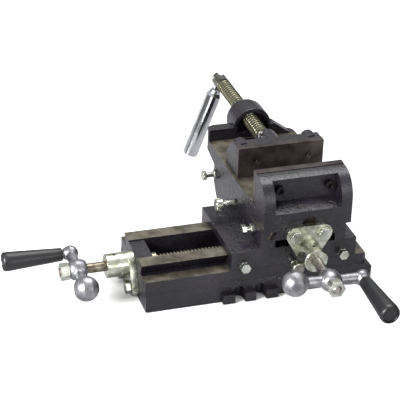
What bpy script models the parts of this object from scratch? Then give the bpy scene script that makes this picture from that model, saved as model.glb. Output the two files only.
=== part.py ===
"""Compound cross-slide vise, 100 mm jaws, for a drill press or mill table.

The frame: the origin is the centre of the mounting-slot pattern on the base's underside. +X runs along the
base ways (the X crank is at -X), +Y runs from the fixed jaw to the spindle handle, +Z is up. Sizes below are
in millimetres and become metres when a mesh is made.
"""

from math import acos, atan2, cos, hypot, pi, radians, sin, tan

import bmesh
import bpy
from mathutils import Matrix, Vector

MM = 0.001

# Fits
GAP = 0.3  # between touching pieces
RUN = 0.3  # radial clearance round shafts and screws
GIB = 3.6  # thickness of a gib strip
FLANK = tan(radians(30))  # sideways step of a 60 degree dovetail for each mm of height

# Base
BASE_LEFT = -116.0
BASE_RIGHT = 142.0
WAY_RIGHT = 134.5
RAIL_RIGHT = 126.0
FLANGE_HALF = 53.3
WALL_HALF = 50.8
FLANGE_TOP = 19.0
LEDGE_TOP = 21.5
WAY_TOP = 35.2
RAIL_TOP = 48.0
RAIL_OUTER = 37.1
RAIL_INNER = 19.2
CHANNEL_FLOOR = 12.0
END_WALL = 17.5
LUG_REACH = 59.5
LUG_HEIGHT = 10.8
LUG_HALF = 31.4
SLOT_X = 12.0
SLOT_RADIUS = 5.75
SLOT_CENTRE_Y = 51.0

# Saddle
SADDLE_LEFT = -21.0
SADDLE_RIGHT = 122.0
SADDLE_FRONT = -50.8
SADDLE_REAR = 55.2
SADDLE_TOP = 57.0
CREASE_X = -2.4
Y_RAIL_LEFT = 10.8
Y_RAIL_RIGHT = 108.3
Y_RAIL_TOP = 79.0
Y_RAIL_REAR = 112.5
Y_FLOOR = 68.3
Y_OPEN_LEFT = 24.0
Y_OPEN_RIGHT = 96.0
Y_CHANNEL_HALF = 34.3

# Vise body
CENTRE_X = 62.0
BODY_FRONT = -55.0
BED_BOTTOM = Y_RAIL_TOP + GAP
BED_TOP = 100.0
BED_REAR = 142.0
TONGUE_REAR = 98.0
JAW_WIDTH = 100.0
BED_HALF = JAW_WIDTH / 2 + 3.3
JAW_TOP = 136.0
PLATE_THICK = 8.0
FIXED_FACE = -16.0
OPENING = 50.0
CROSS_FRONT = 128.0
CROSS_TOP = 114.0
BED_SLOT_HALF = 10.0
BED_SLOT_FRONT = -6.0
BED_SLOT_REAR = 126.0
POCKET_HALF = 18.0
POCKET_TOP = 89.0
JAW_CURVE_Y = -29.0
JAW_CURVE_Z = 106.0
WINDOW_HALF = 37.5

# Jaw spindle and handle
SPINDLE_Z = 117.0
SPINDLE_R = 8.5
HOOD_Z = 112.0
HOOD_R = 23.0
HOOD_FRONT = 130.0
NUT_BOSS_REAR = 163.0
HEAD_END = 262.0
PIN_Y = 254.0
HANDLE_LENGTH = 104.0
HANDLE_R = 9.4
HANDLE_LEAN = radians(20.3)  # the hanging bar leans to -X

# Feed screws, brackets and cranks
SCREW_R = 5.5
COLLAR_R = 8.2
X_AXIS_Z = 31.5
Y_AXIS_Z = 55.5
BRACKET_LENGTH = 31.0
BRACKET_FLANGE = 7.0
BRACKET_BOSS_R = 13.2
BOLT_SIDE = 16.0
BOLT_RISE = 20.0
BOLT_R = 4.0
BOLT_HEAD = 5.5
X_CRANK = BASE_LEFT - 61
Y_CRANK = BODY_FRONT - 70
HUB_R = 11.0
HUB_HALF = 9.5
THROW = 36.0
BALL_THROW = 39.0
ARM_R = 6.5
BALL_R = 14.0
END_BALL_R = 9.0
GRIP_LENGTH = 66.0
CRANK_NUT_FLATS = 17.0
CRANK_NUT_LONG = 10.0
CRANK_SEAT_R = 5.0
CRANK_THREAD_R = 4.7
Y_CRANK_TILT = radians(-3.4)

ROUND = 24  # sides of a large round piece
SMALL = 12  # sides of a screw


# Materials

def material(name, colour, roughness, metallic):
    """A plain Principled material; the colour is linear RGB."""
    made = bpy.data.materials.new(name)
    made.use_nodes = True
    shader = made.node_tree.nodes["Principled BSDF"]
    shader.inputs["Base Color"].default_value = (*colour, 1.0)
    shader.inputs["Roughness"].default_value = roughness
    shader.inputs["Metallic"].default_value = metallic
    return made


def make_materials():
    return {
        "enamel": material("casting_enamel", (0.030, 0.028, 0.035), 0.45, 0.0),
        "jaw_steel": material("jaw_steel", (0.045, 0.038, 0.033), 0.40, 0.8),
        "zinc": material("zinc_plate", (0.55, 0.58, 0.54), 0.35, 1.0),
        "thread": material("yellow_zinc", (0.48, 0.50, 0.34), 0.35, 1.0),
        "aluminium": material("cast_aluminium", (0.62, 0.62, 0.63), 0.45, 1.0),
        "chrome": material("chrome_bar", (0.75, 0.76, 0.78), 0.10, 1.0),
        "plastic": material("grip_plastic", (0.015, 0.015, 0.017), 0.35, 0.0),
        "steel": material("bare_steel", (0.30, 0.28, 0.25), 0.40, 1.0),
        "bronze": material("nut_bronze", (0.45, 0.30, 0.12), 0.40, 1.0),
    }


# Meshes: each maker returns a closed bmesh in millimetres

def prism(outline, axis, low, high):
    """A straight bar along an axis. The outline is (y, z) for X, (x, z) for Y and (x, y) for Z."""
    place = {
        "X": lambda a, b, t: (t, a, b),
        "Y": lambda a, b, t: (a, t, b),
        "Z": lambda a, b, t: (a, b, t),
    }[axis]
    bm = bmesh.new()
    near = [bm.verts.new(place(a, b, low)) for a, b in outline]
    far = [bm.verts.new(place(a, b, high)) for a, b in outline]
    bm.faces.new(near)
    bm.faces.new(far)
    for i in range(len(outline)):
        j = (i + 1) % len(outline)
        bm.faces.new((near[i], near[j], far[j], far[i]))
    bmesh.ops.recalc_face_normals(bm, faces=bm.faces)
    return bm


def box(x, y, z):
    """A block from three (low, high) pairs."""
    return prism([(x[0], y[0]), (x[1], y[0]), (x[1], y[1]), (x[0], y[1])], "Z", z[0], z[1])


def turned(profile, centre, axis, sides=ROUND):
    """A turned piece. The profile is (radius, distance along the axis) pairs, and flat ends are closed."""
    direction = Vector(axis).normalized()
    side = Vector((1, 0, 0)) if abs(direction.z) > 0.9 else Vector((0, 0, 1))
    side = side.cross(direction).normalized()
    other = direction.cross(side)
    middle = Vector(centre)
    bm = bmesh.new()
    rings = []
    for radius, along in profile:
        spot = middle + direction * along
        if radius <= 0:
            rings.append([bm.verts.new(spot)])
            continue
        ring = []
        for k in range(sides):
            turn = 2 * pi * k / sides
            ring.append(bm.verts.new(spot + (side * cos(turn) + other * sin(turn)) * radius))
        rings.append(ring)
    if len(rings[0]) > 1:
        bm.faces.new(rings[0])
    if len(rings[-1]) > 1:
        bm.faces.new(rings[-1])
    for first, second in zip(rings, rings[1:]):
        for k in range(sides):
            m = (k + 1) % sides
            if len(first) == 1:
                bm.faces.new((first[0], second[m], second[k]))
            elif len(second) == 1:
                bm.faces.new((first[k], first[m], second[0]))
            else:
                bm.faces.new((first[k], first[m], second[m], second[k]))
    bmesh.ops.recalc_face_normals(bm, faces=bm.faces)
    return bm


def rod(radius, centre, axis, low, high, sides=SMALL):
    return turned([(radius, low), (radius, high)], centre, axis, sides)


def ball(radius, centre, axis, sides=24, flat=None):
    """A ball as stacked rings; flat cuts its +axis cap off at that distance from the centre."""
    steps = sides // 2
    profile = []
    for k in range(steps + 1):
        turn = -pi / 2 + pi * k / steps
        along = radius * sin(turn)
        if flat is not None and along >= flat:
            profile.append(((radius**2 - flat**2) ** 0.5, flat))
            break
        profile.append((max(radius * cos(turn), 0.0) if 0 < k < steps else 0.0, along))
    return turned(profile, centre, axis, sides)


def hexagon(flats, centre, axis, low, high):
    """A hexagonal prism measured across its flats."""
    return turned([(flats / 2 / cos(pi / 6), low), (flats / 2 / cos(pi / 6), high)], centre, axis, 6)


def arc(centre, radius, start, end, steps):
    """Points on an arc, angles in degrees."""
    turns = [radians(start + (end - start) * k / steps) for k in range(steps + 1)]
    return [(centre[0] + radius * cos(t), centre[1] + radius * sin(t)) for t in turns]


def add(name, bm, paint, origin=(0, 0, 0)):
    """Makes the named object, with its origin at a place given in millimetres."""
    mesh = bpy.data.meshes.new(name)
    bmesh.ops.translate(bm, verts=bm.verts, vec=-Vector(origin))
    bmesh.ops.scale(bm, verts=bm.verts, vec=(MM, MM, MM))
    bm.to_mesh(mesh)
    bm.free()
    mesh.shade_smooth()
    mesh.set_sharp_from_angle(angle=radians(35))
    mesh.materials.append(paint)
    obj = bpy.data.objects.new(name, mesh)
    obj.location = Vector(origin) * MM
    bpy.context.scene.collection.objects.link(obj)
    return obj


def combine(obj, bm, operation):
    """Joins a piece to an object, or cuts it away, with a hidden partner and a Boolean modifier."""
    order = len(obj.modifiers)
    partner = add(f"{obj.name}_{operation.lower()}_{order}", bm, obj.data.materials[0])
    partner.hide_render = True
    partner.display_type = "WIRE"
    modifier = obj.modifiers.new(f"{operation.lower()}_{order}", "BOOLEAN")
    modifier.operation = operation
    modifier.solver = "EXACT"
    modifier.object = partner


def cut(obj, *pieces):
    for bm in pieces:
        combine(obj, bm, "DIFFERENCE")


def join(obj, *pieces):
    for bm in pieces:
        combine(obj, bm, "UNION")


def hang(children, parent):
    """Parents objects without moving them."""
    for child in children:
        child.parent = parent
        child.matrix_parent_inverse = Matrix.Translation(parent.location).inverted()


# The base

def male_flank(z):
    """Half width of the base dovetail at a height."""
    return RAIL_OUTER - (RAIL_TOP - z) * FLANK


def corner_cut(x, y, radius, z):
    """What a vertical corner loses when it is rounded; x and y are the corner, with its outside at +X."""
    side = 1 if y > 0 else -1
    middle = (x - radius, y - side * radius)
    curve = arc(middle, radius, 90 * side, 0, 5)
    outside = [(x + 3, y - side * radius), (x + 3, y + side * 3), (x - radius, y + side * 3)]
    return prism(curve + outside, "Z", z[0], z[1])


def slot_cut(x, side):
    """A U-slot through a lug and the flange, open to the front or rear."""
    centre_y = SLOT_CENTRE_Y * side
    start = 180 if side > 0 else 0
    inner = arc((x, centre_y), SLOT_RADIUS, start, start + 180, 8)
    outer = LUG_REACH * side + 4 * side
    corners = [(x + SLOT_RADIUS * side, outer), (x - SLOT_RADIUS * side, outer)]
    return prism(inner + corners, "Z", -1, LUG_HEIGHT + 0.2)


def slot_roof(x, side):
    """The arched pocket over a lug's slot, which gives the bolt's head room under the flange."""
    arch = arc((x, LUG_HEIGHT), SLOT_RADIUS + 0.2, 0, 180, 10)
    low_y, high_y = sorted((side * (SLOT_CENTRE_Y - 5), side * (FLANGE_HALF + 1)))
    return prism(arch, "Y", low_y, high_y)


def make_base(paint):
    root = male_flank(WAY_TOP)
    front = [(-FLANGE_HALF, 0), (-FLANGE_HALF, FLANGE_TOP), (-WALL_HALF, LEDGE_TOP), (-WALL_HALF, WAY_TOP)]
    front += [(-root, WAY_TOP), (-RAIL_OUTER, RAIL_TOP)]
    rear = [(-y, z) for y, z in reversed(front)]
    base = add("base_casting", prism(front + rear, "X", BASE_LEFT, BASE_RIGHT), paint)
    channel = (BASE_LEFT + END_WALL, RAIL_RIGHT - 8)
    cut(base, box(channel, (-RAIL_INNER, RAIL_INNER), (CHANNEL_FLOOR, RAIL_TOP + 2)))
    wall_x = (BASE_LEFT - 1, channel[0] + 1)
    cut(base, box(wall_x, (-RAIL_INNER, RAIL_INNER), (RAIL_TOP - 1.5, RAIL_TOP + 2)))
    slope = [(WAY_RIGHT, WAY_TOP), (BASE_RIGHT - 1, FLANGE_TOP), (BASE_RIGHT + 5, FLANGE_TOP)]
    above = [(BASE_RIGHT + 5, RAIL_TOP + 5), (RAIL_RIGHT, RAIL_TOP + 5), (RAIL_RIGHT, WAY_TOP)]
    cut(base, prism(slope + above, "Y", -FLANGE_HALF - 5, FLANGE_HALF + 5))
    for side in (-1, 1):
        cut(base, corner_cut(WAY_RIGHT + 4, side * WALL_HALF, 10, (LEDGE_TOP + 0.2, RAIL_TOP)))
        lug_y = sorted((side * (WALL_HALF - 1), side * LUG_REACH))
        join(base, box((-LUG_HALF, LUG_HALF), lug_y, (0, LUG_HEIGHT)))
    for side in (-1, 1):
        cut(base, slot_cut(-SLOT_X, side), slot_cut(SLOT_X, side))
        cut(base, slot_roof(-SLOT_X, side), slot_roof(SLOT_X, side))
        bolt = (BASE_LEFT, side * BOLT_SIDE, X_AXIS_Z - BOLT_RISE)
        cut(base, rod(BOLT_R + RUN, bolt, (1, 0, 0), -1, END_WALL - 3))
    axis = (0, 0, X_AXIS_Z)
    cut(base, rod(SCREW_R + RUN, axis, (1, 0, 0), BASE_LEFT - 1, channel[0] + 1, ROUND))
    cut(base, rod(4 + RUN, axis, (1, 0, 0), channel[1] - 1, WAY_RIGHT - 3))
    return base


# The screw bracket is one part used twice: along +X on the base and along +Y on the body

def bracket_outline(rise):
    """Two bolt lobes and the boss circle. rise is +1 for lobes above the boss and -1 for lobes below."""
    lobe = 10.0
    boss = BRACKET_BOSS_R + 0.5
    reach = hypot(BOLT_SIDE, BOLT_RISE)
    lean = atan2(BOLT_RISE, BOLT_SIDE)
    turn = acos((boss - lobe) / reach)
    touch = (lean - turn) * 180 / pi
    right_lobe = arc((BOLT_SIDE, BOLT_RISE), lobe, touch, 90, 6)
    left_lobe = [(-a, b) for a, b in reversed(right_lobe)]
    bottom = arc((0, 0), boss, 180 - touch, 360 + touch, 14)
    return [(a, b * rise) for a, b in right_lobe + left_lobe + bottom]


def make_bracket(name, place, axis, rise, paint):
    """place is the axis point on the mounting face. The boss points down the axis, "X" or "Y"."""
    face = place["XY".index(axis)] - GAP
    across = place["YX".index(axis)]
    outline = [(across + a, place[2] + b) for a, b in bracket_outline(rise)]
    flange = prism(outline, axis, face - BRACKET_FLANGE, face)
    bracket = add(name, flange, paint)
    direction = Vector((1, 0, 0)) if axis == "X" else Vector((0, 1, 0))
    middle = Vector(place)
    end = -BRACKET_LENGTH
    start = -BRACKET_FLANGE + 1
    boss = [(BRACKET_BOSS_R, start), (BRACKET_BOSS_R, end + 1), (BRACKET_BOSS_R - 1, end)]
    join(bracket, turned(boss[::-1], middle, direction))
    cut(bracket, rod(SCREW_R + RUN, middle, direction, end - 1, 1, ROUND))
    sideways = Vector((0, 1, 0)) if axis == "X" else Vector((1, 0, 0))
    for side in (-1, 1):
        spot = middle + sideways * (side * BOLT_SIDE) + Vector((0, 0, rise * BOLT_RISE))
        cut(bracket, rod(BOLT_R + RUN, spot, direction, -BRACKET_FLANGE - 2, 1))
    oil = middle - direction * (BRACKET_LENGTH - 10)
    cut(bracket, rod(2.0, oil, (0, 0, 1), SCREW_R, BRACKET_BOSS_R + 2, 12))
    return bracket


def make_bolt(name, place, axis, flats, head, shank, radius, paint):
    """A hex bolt. place is the seat under its head, axis points from the head into the work."""
    bolt = add(name, hexagon(flats, place, axis, -head, 0), paint, place)
    join(bolt, rod(radius, place, axis, -head / 2, shank))
    return bolt


def make_socket_screw(name, place, axis, radius, head_radius, head, shank, paint):
    """A socket head screw. place is the seat under its head."""
    profile = [(head_radius, -head), (head_radius, 0), (radius, 0), (radius, shank)]
    screw = add(name, turned(profile, place, axis, 20), paint, place)
    cut(screw, hexagon(head_radius, place, axis, -head - 1, -head * 0.45))
    return screw


def ring_nut(name, flats, bore, place, axis, low, high, paint):
    nut = add(name, hexagon(flats, place, axis, low, high), paint, place)
    cut(nut, rod(bore, place, axis, low - 1, high + 1))
    return nut


# Feed screws and cranks

def make_feed_screw(name, axis_point, axis, crank, wall, thread_end, tail, paint):
    """crank, wall, thread_end and tail are coordinates on the axis; wall is the bearing's inner end."""
    seat = crank - HUB_HALF
    profile = [
        (CRANK_THREAD_R, seat - CRANK_NUT_LONG - 0.5),
        (CRANK_THREAD_R, seat),
        (CRANK_SEAT_R, seat),
        (CRANK_SEAT_R, crank + HUB_HALF + GAP),
        (SCREW_R, crank + HUB_HALF + GAP),
        (SCREW_R, thread_end),
    ]
    if tail > thread_end:
        profile += [(4.0, thread_end), (4.0, tail)]
    middle = [0, 0, axis_point[2]]
    middle[1 if axis == "X" else 0] = axis_point[1 if axis == "X" else 0]
    direction = (1, 0, 0) if axis == "X" else (0, 1, 0)
    screw = add(name, turned(profile, middle, direction), paint, axis_point)
    collar = add(
        name.replace("screw", "collar"),
        rod(COLLAR_R, middle, direction, wall + GAP, wall + 8, ROUND),
        paint,
        axis_point,
    )
    cut(collar, rod(SCREW_R + GAP, middle, direction, wall - 1, wall + 9, ROUND))
    return screw, collar


def make_crank(prefix, axis_point, axis, crank, ball_side, tilt, paints):
    """The cranked handle: counterweight ball, hub and end ball, with its nut, grip and grip spindle.

    crank is the coordinate of the arm plane along the axis. The grip points away from the vise.
    """
    along = Vector((1, 0, 0)) if axis == "X" else Vector((0, 1, 0))
    flat = Vector((0, 1, 0)) if axis == "X" else Vector((1, 0, 0))
    throw = flat * cos(tilt) + Vector((0, 0, 1)) * sin(tilt)
    hub = Vector(axis_point)
    hub["XY".index(axis)] = crank
    outward = -along
    big = hub + throw * (BALL_THROW * ball_side)
    end = hub - throw * (THROW * ball_side)
    barrel = [(HUB_R - 1.5, -HUB_HALF), (HUB_R, -HUB_HALF + 1.5)]
    barrel += [(HUB_R, HUB_HALF - 1.5), (HUB_R - 1.5, HUB_HALF)]
    arm = add(f"{prefix}_crank_arm", turned(barrel, hub, along), paints["aluminium"], axis_point)
    join(arm, rod(ARM_R, hub, throw, -THROW, THROW, 16))
    join(arm, ball(BALL_R, big, outward, 20, BALL_R * 0.86))
    join(arm, ball(END_BALL_R, end, outward, 16, END_BALL_R * 0.86))
    cut(arm, rod(CRANK_SEAT_R + GAP, hub, along, -HUB_HALF - 1, HUB_HALF + 1, 24))
    cut(arm, rod(3.0 + GAP, end, outward, -4.0, END_BALL_R + 1))
    nut = ring_nut(f"{prefix}_crank_nut", CRANK_NUT_FLATS, CRANK_THREAD_R + GAP, hub, outward,
                   HUB_HALF + GAP, HUB_HALF + CRANK_NUT_LONG, paints["zinc"])
    start = END_BALL_R * 0.86 + 1.2
    stop = start + GRIP_LENGTH
    outline = [(6.6, start), (7.4, start + 1), (8.2, start + 16), (10.3, stop - 13), (10.8, stop - 5.5)]
    outline += [(10.0, stop - 1.8), (7.5, stop)]
    grip = add(f"{prefix}_crank_grip", turned(outline, end, outward, 24), paints["plastic"], end)
    cut(grip, rod(3.0 + 2 * GAP, end, outward, start - 1, stop - 8))
    pin = add(f"{prefix}_grip_pin", rod(3.0, end, outward, -3.5, stop - 9), paints["zinc"], end)
    return arm, nut, grip, pin


# The saddle

def left_female(z):
    """X of the saddle's left dovetail flank at a height."""
    return Y_OPEN_LEFT - (Y_RAIL_TOP - z) * FLANK


def right_female(z):
    return Y_OPEN_RIGHT + (Y_RAIL_TOP - z) * FLANK


def make_saddle(paint):
    bottom = WAY_TOP + GAP
    roof = RAIL_TOP + 0.4
    front_low = -(male_flank(bottom) + GIB + 0.7)
    front_high = -(male_flank(roof) + GIB + 0.7)
    rear_low = male_flank(bottom) + 0.4
    rear_high = male_flank(roof) + 0.4
    block = [(SADDLE_FRONT, bottom), (front_low, bottom), (front_high, roof), (rear_high, roof)]
    block += [(rear_low, bottom), (SADDLE_REAR, bottom), (SADDLE_REAR, SADDLE_TOP)]
    block += [(SADDLE_FRONT, SADDLE_TOP)]
    saddle = add("saddle_casting", prism(block, "X", SADDLE_LEFT, SADDLE_RIGHT), paint)

    side = [(SADDLE_FRONT, SADDLE_TOP - 1), (SADDLE_REAR - 1, SADDLE_TOP - 1), (SADDLE_REAR - 1, bottom)]
    side += [(SADDLE_REAR + 37, bottom), (Y_RAIL_REAR - 10.7, 43.0), (Y_RAIL_REAR, SADDLE_TOP)]
    side += [(Y_RAIL_REAR, Y_RAIL_TOP), (SADDLE_FRONT, Y_RAIL_TOP)]
    join(saddle, prism(side, "X", Y_RAIL_LEFT, Y_RAIL_RIGHT))
    wedge = [(CREASE_X, SADDLE_TOP - 1), (CREASE_X, SADDLE_TOP), (Y_RAIL_LEFT + 1, SADDLE_TOP + 3)]
    wedge += [(Y_RAIL_LEFT + 1, SADDLE_TOP - 1)]
    join(saddle, prism(wedge, "Y", SADDLE_FRONT, SADDLE_REAR - 2))

    left = CENTRE_X - Y_CHANNEL_HALF
    right = CENTRE_X + Y_CHANNEL_HALF
    over = Y_RAIL_TOP + 2
    slide = [(left_female(over), over), (left_female(Y_FLOOR), Y_FLOOR), (left, Y_FLOOR), (left, SADDLE_TOP)]
    slide += [(right, SADDLE_TOP), (right, Y_FLOOR)]
    slide += [(right_female(Y_FLOOR), Y_FLOOR), (right_female(over), over)]
    cut(saddle, prism(slide, "Y", SADDLE_FRONT - 2, Y_RAIL_REAR + 2))
    groove = (CENTRE_X - 9, CENTRE_X + 9)
    cut(saddle, box(groove, (SADDLE_FRONT - 2, Y_RAIL_REAR + 2), (RAIL_TOP - 2, SADDLE_TOP + 3)))
    for spot in front_screws() + [front_lock()]:
        cut(saddle, rod(3 + RUN, spot, (0, 1, 0), -2, 18))
    for spot in side_screws() + [side_lock()]:
        cut(saddle, rod(3 + RUN, spot, (1, 0, 0), -2, 14))
    for spot in (x_nut_seat(), *y_nut_seats()):
        cut(saddle, rod(2.5 + RUN, spot, (0, 0, -1), -1, SADDLE_TOP - RAIL_TOP + 3))
    return saddle


def front_screws():
    """Seats of the X gib screws in the saddle's front face."""
    return [(x, SADDLE_FRONT, 41.8) for x in (-7.5, 105.0)]


def front_lock():
    return (46.5, SADDLE_FRONT, 41.3)


def side_screws():
    """Seats of the Y gib screws in the left rail, front one first."""
    return [(Y_RAIL_LEFT, y, 72.5) for y in (-30.0, 99.0)]


def side_lock():
    return (Y_RAIL_LEFT, 29.0, 72.5)


def x_nut_seat():
    return (36.0, 0.0, SADDLE_TOP)


def y_nut_seats():
    return [(CENTRE_X + side * 14.5, 0.0, SADDLE_TOP) for side in (-1, 1)]


def make_gib_screw(name, seat, inward, reach, proud, paint):
    """A hex screw that presses on a gib, with its lock nut against the casting."""
    screw = add(name, rod(3.0, seat, inward, -proud + 2, reach), paint, seat)
    join(screw, hexagon(10, seat, inward, -proud, -proud + 4.5))
    nut = ring_nut(f"{name}_nut", 10, 3 + RUN, seat, inward, -5.0, -GAP, paint)
    return screw, nut


def make_lock_screw(name, seat, inward, reach, paint):
    """A slide lock: a long screw with a collar and a knurled head."""
    screw = add(name, rod(3.0, seat, inward, -20, reach), paint, seat)
    join(screw, turned([(6.2, -25), (7.0, -24), (7.0, -17.8), (6.2, -17)], seat, inward, 28))
    join(screw, rod(4.6, seat, inward, -13.0, -0.5, 12))
    return screw


def make_saddle_parts(paints):
    parts = [make_saddle(paints["enamel"])]
    low = WAY_TOP + 0.4
    high = RAIL_TOP + 0.1
    inner = GAP + 0.05
    strip = [(-male_flank(low) - inner, low), (-male_flank(low) - GIB, low)]
    strip += [(-male_flank(high) - GIB, high), (-male_flank(high) - inner, high)]
    parts.append(add("x_gib_strip", prism(strip, "X", SADDLE_LEFT + 1, SADDLE_RIGHT - 1), paints["steel"]))
    low = Y_FLOOR + GAP
    high = Y_RAIL_TOP - GAP
    strip = [(left_female(low) + GAP, low), (left_female(low) + GIB, low)]
    strip += [(left_female(high) + GIB, high), (left_female(high) + GAP, high)]
    parts.append(add("y_gib_strip", prism(strip, "Y", SADDLE_FRONT + 0.5, Y_RAIL_REAR - 1), paints["steel"]))

    gib_face = -SADDLE_FRONT - male_flank(41.8 + 3) - GIB - GAP
    for name, seat in zip(("x_gib_screw_left", "x_gib_screw_right"), front_screws()):
        parts += make_gib_screw(name, seat, (0, 1, 0), gib_face, 10.5, paints["zinc"])
    lock_face = -SADDLE_FRONT - male_flank(front_lock()[2] + 3) - GIB - GAP
    parts.append(make_lock_screw("x_lock_screw", front_lock(), (0, 1, 0), lock_face, paints["zinc"]))
    side_face = left_female(72.5 - 3) - Y_RAIL_LEFT
    for name, seat, proud in zip(("y_gib_screw_front", "y_gib_screw_rear"), side_screws(), (14.6, 18.4)):
        parts += make_gib_screw(name, seat, (1, 0, 0), side_face, proud, paints["zinc"])
    parts.append(make_lock_screw("y_lock_screw", side_lock(), (1, 0, 0), side_face, paints["zinc"]))

    seat = x_nut_seat()
    roof = RAIL_TOP + 0.1
    x_nut = add("x_feed_nut", box((seat[0] - 12, seat[0] + 12), (-15, 15), (CHANNEL_FLOOR + 10, roof)),
                paints["bronze"], (seat[0], 0, X_AXIS_Z))
    cut(x_nut, rod(SCREW_R + RUN, (seat[0], 0, X_AXIS_Z), (1, 0, 0), -13, 13, ROUND))
    roof_depth = SADDLE_TOP - RAIL_TOP
    cut(x_nut, rod(2.5 + RUN, seat, (0, 0, -1), roof_depth - 1, roof_depth + 8))
    parts.append(x_nut)
    screw_seat = (seat[0], seat[1], seat[2] + GAP)
    screw_length = roof_depth + 7
    parts.append(make_socket_screw("x_nut_screw", screw_seat, (0, 0, -1), 2.5, 4.5, 5, screw_length,
                                   paints["zinc"]))

    bottom = RAIL_TOP + 0.5
    shoulder = SADDLE_TOP + GAP
    top = shoulder + 8
    tee = [(CENTRE_X - 8.6, bottom), (CENTRE_X + 8.6, bottom), (CENTRE_X + 8.6, shoulder)]
    tee += [(CENTRE_X + 20.5, shoulder), (CENTRE_X + 20.5, top), (CENTRE_X - 20.5, top)]
    tee += [(CENTRE_X - 20.5, shoulder), (CENTRE_X - 8.6, shoulder)]
    y_nut = add("y_feed_nut", prism(tee, "Y", -12, 12), paints["bronze"], (CENTRE_X, 0, Y_AXIS_Z))
    cut(y_nut, rod(SCREW_R + RUN, (CENTRE_X, 0, Y_AXIS_Z), (0, 1, 0), -13, 13, ROUND))
    for name, spot in zip(("y_nut_screw_left", "y_nut_screw_right"), y_nut_seats()):
        head_seat = (spot[0], spot[1], top - 5)
        cut(y_nut, rod(2.5 + RUN, spot, (0, 0, 1), -1, 9))
        cut(y_nut, rod(4.5 + RUN, head_seat, (0, 0, 1), 0, 7))
        screw_seat = (spot[0], spot[1], top - 5 + GAP)
        parts.append(make_socket_screw(name, screw_seat, (0, 0, -1), 2.5, 4.5, 4.5, 12, paints["zinc"]))
    parts.append(y_nut)
    return parts


# The vise body

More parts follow.
